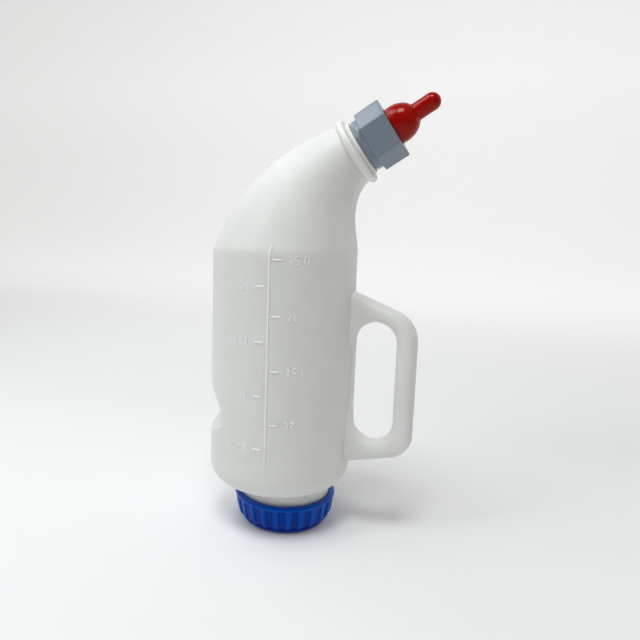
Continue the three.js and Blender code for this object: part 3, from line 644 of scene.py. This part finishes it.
def make_valve():
    """Seat, cage and ball as finely turned copies of the part's own shapes."""
    face = SEAT_BACK + SEAT_THICK
    rim = FLANGE_R - 0.3
    seat = eased([
        [3.1, SEAT_BACK], [rim, SEAT_BACK], [rim, face], [COLLAR_BORE, face], [COLLAR_BORE, face + 2.4],
        [6.1, face + 2.4], [4.6, face]], 0.3, closed=True)
    seat = finished(to_piece("turned_seat", *laid_on_neck(ring(turned(seat, 96)))), 35)
    home = face + math.sqrt(BALL_R ** 2 - SEAT_HOLE_R ** 2) + 0.3
    stop = home + BALL_TRAVEL + BALL_R + GAP
    inner, outer = COLLAR_BORE + GAP, COLLAR_BORE + GAP + 1.3
    collar = washer(inner, outer, FLANGE_BACK, FLANGE_BACK + SEAT_THICK)
    cage = to_piece("turned_cage", *laid_on_neck(ring(collar)))
    top = washer(2.75, outer, stop, stop + 1.2)
    cage = combine(cage, to_piece("top", *laid_on_neck(ring(top))), "UNION")
    for k in range(3):
        leg = cage_leg((inner + outer) / 2 - 0.02, k * 2 * math.pi / 3, FLANGE_BACK + 0.5, stop + 0.6)
        cage = combine(cage, to_piece("leg", *laid_on_neck(tube(leg))), "UNION")
    ball = turned(round_tip(BALL_R, home, np.radians(np.linspace(-88, 88, 33))), 64)
    ball = finished(to_piece("smooth_ball", *laid_on_neck(tube(ball))), 60)
    return seat, finished(cage, 35), ball


def make_seal():
    """Ring of square section with well eased edges, lying on the cap's ledge."""
    outer = BASE_ROOT_R - 0.4 - GAP
    inner, low = outer - SEAL_WIDTH, CAP_LEDGE + GAP
    high = low + SEAL_THICK
    profile = eased([[inner, low], [outer, low], [outer, high], [inner, high]], 0.6, closed=True)
    return finished(to_piece("sealing_ring", *ring(turned(profile, 128))), 45)


# ------------------------------------------------------------------ materials
class Finish:
    """Node material on Object coordinates, built up one effect at a time."""

    def __init__(self, name, **sockets):
        self.material = bpy.data.materials.new(name)
        self.material.use_nodes = True
        self.tree = self.material.node_tree
        self.shader = self.tree.nodes["Principled BSDF"]
        self.place = self.tree.nodes.new("ShaderNodeTexCoord").outputs["Object"]
        for socket, value in sockets.items():
            self.shader.inputs[socket.replace("_", " ")].default_value = value

    def node(self, kind, **settings):
        made = self.tree.nodes.new(kind)
        for key, value in settings.items():
            setattr(made, key, value)
        return made

    def link(self, a, b):
        self.tree.links.new(a, b)

    def noise(self, scale, detail=3.0, rough=0.5, stretch=None):
        noise = self.node("ShaderNodeTexNoise")
        noise.inputs["Scale"].default_value = scale
        noise.inputs["Detail"].default_value = detail
        noise.inputs["Roughness"].default_value = rough
        place = self.place
        if stretch:
            mapping = self.node("ShaderNodeMapping")
            mapping.inputs["Scale"].default_value = stretch
            self.link(place, mapping.inputs["Vector"])
            place = mapping.outputs["Vector"]
        self.link(place, noise.inputs["Vector"])
        return noise.outputs["Fac"]

    def ranged(self, value, low, high, start=0.3, end=0.7):
        span = self.node("ShaderNodeMapRange")
        for socket, number in (("From Min", start), ("From Max", end), ("To Min", low), ("To Max", high)):
            span.inputs[socket].default_value = number
        self.link(value, span.inputs["Value"])
        return span.outputs["Result"]

    def blend(self, factor, first, second):
        mix = self.node("ShaderNodeMix", data_type="RGBA")
        self.link(factor, mix.inputs["Factor"])
        for socket, colour in ((mix.inputs[6], first), (mix.inputs[7], second)):
            if hasattr(colour, "is_output"):
                self.link(colour, socket)
            else:
                socket.default_value = (*colour, 1)
        return mix.outputs[2]

    def colour(self, source):
        self.link(source, self.shader.inputs["Base Color"])

    def roughness(self, source):
        self.link(source, self.shader.inputs["Roughness"])

    def bumps(self, *layers):
        """Bump nodes one after another: each layer is a height, a depth in metres and a strength."""
        last = None
        for height, depth, strength in layers:
            bump = self.node("ShaderNodeBump")
            bump.inputs["Strength"].default_value = strength
            bump.inputs["Distance"].default_value = depth
            self.link(height, bump.inputs["Height"])
            if last:
                self.link(last, bump.inputs["Normal"])
            last = bump.outputs["Normal"]
        self.link(last, self.shader.inputs["Normal"])


def blown_plastic():
    """Natural white plastic: cloudy, faintly streaked down its height, with a low swell."""
    f = Finish("blown_natural_plastic", Subsurface_Weight=0.35, Subsurface_Scale=0.006, IOR=1.5)
    f.shader.inputs["Subsurface Radius"].default_value = (1.0, 0.95, 0.85)
    cloud = f.ranged(f.noise(14, 3), 0, 1)
    streak = f.ranged(f.noise(26, 3, 0.6, (1.0, 1.0, 0.12)), 0, 1)
    base = f.blend(cloud, (0.77, 0.77, 0.735), (0.805, 0.808, 0.775))
    f.colour(f.blend(f.ranged(f.noise(60, 4, 0.6), 0, 0.35), base, (0.73, 0.73, 0.69)))
    f.roughness(f.ranged(streak, 0.36, 0.5, 0, 1))
    swell = f.noise(38, 2, 0.5, (1, 1, 0.35))
    f.bumps((f.noise(700, 2), 0.0002, 0.10), (swell, 0.0008, 0.10), (streak, 0.0002, 0.05))
    return f.material


def raised_plastic():
    """The scale's own finish: the bottle's plastic, paler where it stands up."""
    f = Finish("raised_natural_plastic", IOR=1.5)
    f.colour(f.blend(f.ranged(f.noise(60, 4, 0.6), 0, 1), (0.87, 0.88, 0.86), (0.90, 0.91, 0.89)))
    f.roughness(f.ranged(f.noise(300, 2), 0.34, 0.44))
    f.bumps((f.noise(900, 2), 0.0002, 0.10))
    return f.material


def cap_plastic():
    """Blue plastic with painted light and shade on the ribs: paler on the ridges, with painted shade in
    the grooves. The ridge mask is minus the cosine of the rib count times the angle round the cap,
    kept between the foot and the rim."""
    f = Finish("blue_cap_plastic", IOR=1.48, Specular_IOR_Level=0.7)
    f.shader.inputs["Specular Tint"].default_value = (0.0, 0.62, 0.9, 1.0)
    part = f.node("ShaderNodeSeparateXYZ")
    f.link(f.place, part.inputs["Vector"])
    angle = f.node("ShaderNodeMath", operation="ARCTAN2")
    f.link(part.outputs["Y"], angle.inputs[0])
    f.link(part.outputs["X"], angle.inputs[1])
    count = f.node("ShaderNodeMath", operation="MULTIPLY")
    f.link(angle.outputs[0], count.inputs[0])
    count.inputs[1].default_value = RIBS
    wave = f.node("ShaderNodeMath", operation="COSINE")
    f.link(count.outputs[0], wave.inputs[0])
    ridge = f.ranged(wave.outputs[0], 1, 0, -0.45, 0.0)
    cloud = f.ranged(f.noise(40, 3), 0, 1)
    # painted shade and painted light: a darker blue in the grooves and a paler blue on the ridges stand in
    # for the light and shade of the rib relief
    painted_groove_shade = f.blend(cloud, (0.0, 0.001, 0.25), (0.0, 0.002, 0.30))
    crest = f.blend(cloud, (0.0, 0.030, 0.40), (0.0, 0.042, 0.46))
    side = f.blend(ridge, painted_groove_shade, crest)
    foot = f.ranged(part.outputs["Z"], 0, 1, 0.0045, 0.0065)
    rim = f.ranged(part.outputs["Z"], 0, 1, 0.0236, 0.0242)
    # painted shade below the foot (the darker groove blue), the rib mask between foot and rim, and painted
    # light on the rim (the paler crest blue)
    f.colour(f.blend(rim, f.blend(foot, painted_groove_shade, side), crest))
    f.roughness(f.ranged(f.noise(120, 3), 0.34, 0.42))
    f.bumps((f.noise(900, 2), 0.0002, 0.12), (f.noise(90, 2), 0.0004, 0.10))
    return f.material


def nut_plastic():
    """Smooth moulded grey with a bluish cast."""
    f = Finish("grey_nut_plastic", IOR=1.5)
    cloud = f.ranged(f.noise(50, 3), 0, 1)
    f.colour(f.blend(cloud, (0.172, 0.21, 0.262), (0.186, 0.225, 0.278)))
    f.roughness(f.ranged(f.noise(90, 2), 0.19, 0.23))
    f.bumps((f.noise(1000, 2), 0.0001, 0.08))
    return f.material


def teat_rubber():
    """Glossy deep red rubber that lets a little light in."""
    f = Finish(
        "red_teat_rubber", IOR=1.5, Specular_IOR_Level=0.3, Subsurface_Weight=0.05, Subsurface_Scale=0.002)
    f.shader.inputs["Subsurface Radius"].default_value = (1.0, 0.3, 0.1)
    f.shader.inputs["Specular Tint"].default_value = (1.0, 0.6, 0.52, 1.0)
    cloud = f.ranged(f.noise(60, 3), 0, 1)
    f.colour(f.blend(cloud, (0.29, 0.0, 0.0), (0.34, 0.003, 0.0)))
    f.roughness(f.ranged(f.noise(140, 3), 0.15, 0.20))
    f.bumps((f.noise(800, 2), 0.0001, 0.05), (f.noise(120, 2), 0.0003, 0.05))
    return f.material


def plain_plastic(name, first, second, low, high):
    """Hidden pieces: a colour between two shades and a roughness between two values."""
    f = Finish(name, IOR=1.48)
    f.colour(f.blend(f.ranged(f.noise(90, 3), 0, 1), first, second))
    f.roughness(f.ranged(f.noise(200, 3), low, high))
    f.bumps((f.noise(1200, 2), 0.0002, 0.12), (f.noise(200, 2), 0.0003, 0.08))
    return f.material


def dress(piece, material):
    piece.data.materials.clear()
    piece.data.materials.append(material)


# ------------------------------------------------------------------ pieces
bottle = make_bottle()
scale = make_scale()
cap = make_cap()
nut = make_nut()
teat = make_teat()
seat, cage, ball = make_valve()
seal = make_seal()

white, blue, grey, red = blown_plastic(), cap_plastic(), nut_plastic(), teat_rubber()
valve_white = plain_plastic("white_valve_plastic", (0.74, 0.74, 0.72), (0.80, 0.80, 0.78), 0.35, 0.5)
ball_grey = plain_plastic("hard_ball_plastic", (0.55, 0.57, 0.6), (0.6, 0.62, 0.65), 0.18, 0.26)
seal_pale = plain_plastic("pale_seal_rubber", (0.66, 0.64, 0.57), (0.72, 0.70, 0.64), 0.6, 0.75)

for piece, body, node, slot, material in (
    (bottle, "bottle", "bottle_body", "bottle_plastic", white),
    (cap, "cap", "base_cap", "cap_plastic", blue),
    (nut, "nut", "teat_nut", "nut_plastic", grey),
    (teat, "teat_set", "teat", "teat_rubber", red),
    (seat, "teat_set", "valve_seat", "valve_plastic", valve_white),
    (cage, "teat_set", "valve_cage", "valve_plastic", valve_white),
    (ball, "ball", "valve_ball", "ball_plastic", ball_grey),
    (seal, "seal", "base_seal", "seal_rubber", seal_pale),
):
    dress(piece, material)
    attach(piece, body)
    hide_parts(node)
dress(scale, raised_plastic())
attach(scale, "bottle")


# ------------------------------------------------------------------ studio
def area_light(name, place, target, size, power, colour):
    data = bpy.data.lights.new(name, "AREA")
    data.shape = "RECTANGLE"
    data.size, data.size_y = size
    data.energy = power
    data.color = colour
    light = bpy.data.objects.new(name, data)
    light.location = place
    light.rotation_euler = (Vector(target) - Vector(place)).to_track_quat("-Z", "Y").to_euler()
    bpy.context.scene.collection.objects.link(light)


def sweep_floor():
    """Floor that curves up into a wall behind: a straight run, a quarter circle, a straight rise."""
    bend = np.radians(np.linspace(-90, 0, 24))
    y = np.concatenate([[-9000.0], 1400 + 900 * np.cos(bend), [2300.0]])
    z = np.concatenate([[0.0], 900 + 900 * np.sin(bend), [5000.0]])
    line = np.stack([y, z], -1)
    points = np.concatenate([np.column_stack([np.full(len(line), x), line]) for x in (-9000.0, 9000.0)])
    n = len(line)
    i = np.arange(n - 1)
    mesh = bpy.data.meshes.new("studio_floor")
    mesh.from_pydata((points * 0.001).tolist(), [], np.stack([i, n + i, n + i + 1, i + 1], -1).tolist())
    mesh.polygons.foreach_set("use_smooth", np.ones(len(mesh.polygons), bool))
    floor = bpy.data.objects.new("studio_floor", mesh)
    bpy.context.scene.collection.objects.link(floor)
    f = Finish("studio_white", Roughness=0.9)
    f.shader.inputs["Base Color"].default_value = (0.8, 0.8, 0.8, 1)
    f.shader.inputs["Emission Color"].default_value = (1, 1, 1, 1)
    depth = f.node("ShaderNodeSeparateXYZ")
    f.link(f.place, depth.inputs["Vector"])
    f.link(f.ranged(depth.outputs["Y"], 0.06, 0.43, 0.3, 1.7), f.shader.inputs["Emission Strength"])
    dress(floor, f.material)
    return floor


sweep_floor()
world = bpy.data.worlds.new("studio")
bpy.context.scene.world = world
world.use_nodes = True
world.node_tree.nodes["Background"].inputs["Color"].default_value = (1.0, 0.985, 0.93, 1)
world.node_tree.nodes["Background"].inputs["Strength"].default_value = 0.22
area_light("high", (0.1, -0.7, 1.9), (0, 0, 0.25), (0.6, 0.6), 15.5, (0.96, 0.985, 1.0))
area_light("left", (-0.62, -0.38, 1.5), (0, 0, 0.25), (0.75, 0.5), 6.5, (0.94, 0.975, 1.0))
area_light("behind", (-0.78, 0.3, 1.1), (0, 0, 0.25), (0.5, 0.5), 1.8, (0.9, 0.96, 1.0))
area_light("side", (-0.78, -0.82, 1.0), (0, 0, 0.25), (0.35, 0.45), 2.4, (0.93, 0.97, 1.0))
bpy.context.scene.view_settings.view_transform = "Standard"

camera_data = bpy.data.cameras.new("camera")
camera_data.sensor_width = 36.0
camera_data.lens = 33.75
camera_data.shift_x, camera_data.shift_y = 0.0486, -0.0104
camera_data.clip_start, camera_data.clip_end = 0.01, 50
camera = bpy.data.objects.new("camera", camera_data)
right, up = Vector((0.95168, 0.30566, 0.02974)), Vector((-0.07370, 0.13330, 0.98833))
turn = Matrix((right, up, right.cross(up))).transposed().to_4x4()
camera.matrix_world = Matrix.Translation((0.1547, -0.4933, 0.2643)) @ turn
bpy.context.scene.collection.objects.link(camera)
bpy.context.scene.camera = camera
